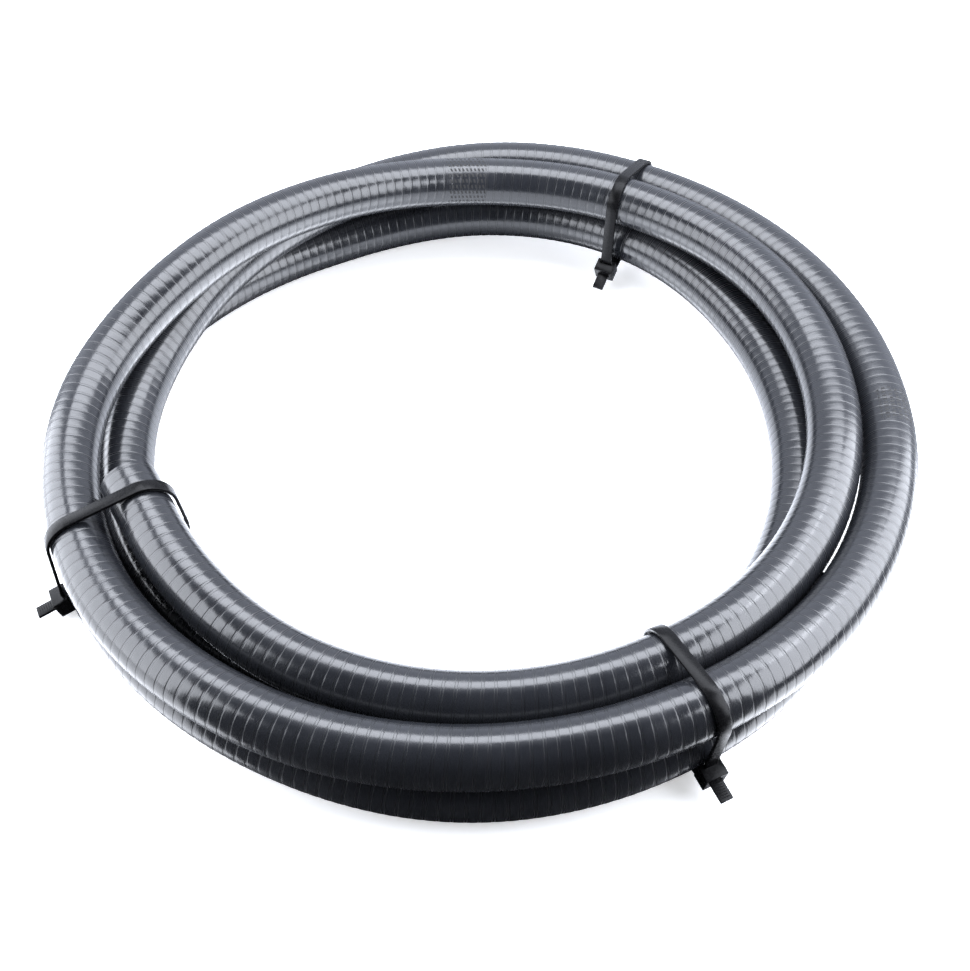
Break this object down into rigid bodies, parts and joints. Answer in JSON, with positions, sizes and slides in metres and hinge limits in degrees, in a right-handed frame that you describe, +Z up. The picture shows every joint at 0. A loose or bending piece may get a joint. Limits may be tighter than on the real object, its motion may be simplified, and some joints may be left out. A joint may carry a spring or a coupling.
{
  "type": "coil of corrugated conduit",
  "caption": "Loose coil of flexible spiral-ribbed plastic conduit, its turns laid over each other and held by cable ties.",
  "frame": {"origin": "middle of the part's box in X and Y, on the floor that the coil lies on", "axes": "+Z up along the coil's axis; -Y is the front, the side that the coil is looked at from; the cut end that shows lies on the -X side"},
  "size_m": [0.34, 0.3346, 0.0612],
  "materials": {
    "conduit": "smooth satin-gloss flexible PVC, slate grey",
    "tie": "black moulded nylon"
  },
  "bodies": {
    "root": {"conduit": "conduit", "tie_back": "tie", "tie_front": "tie", "tie_left": "tie"}
  },
  "joints": []
}
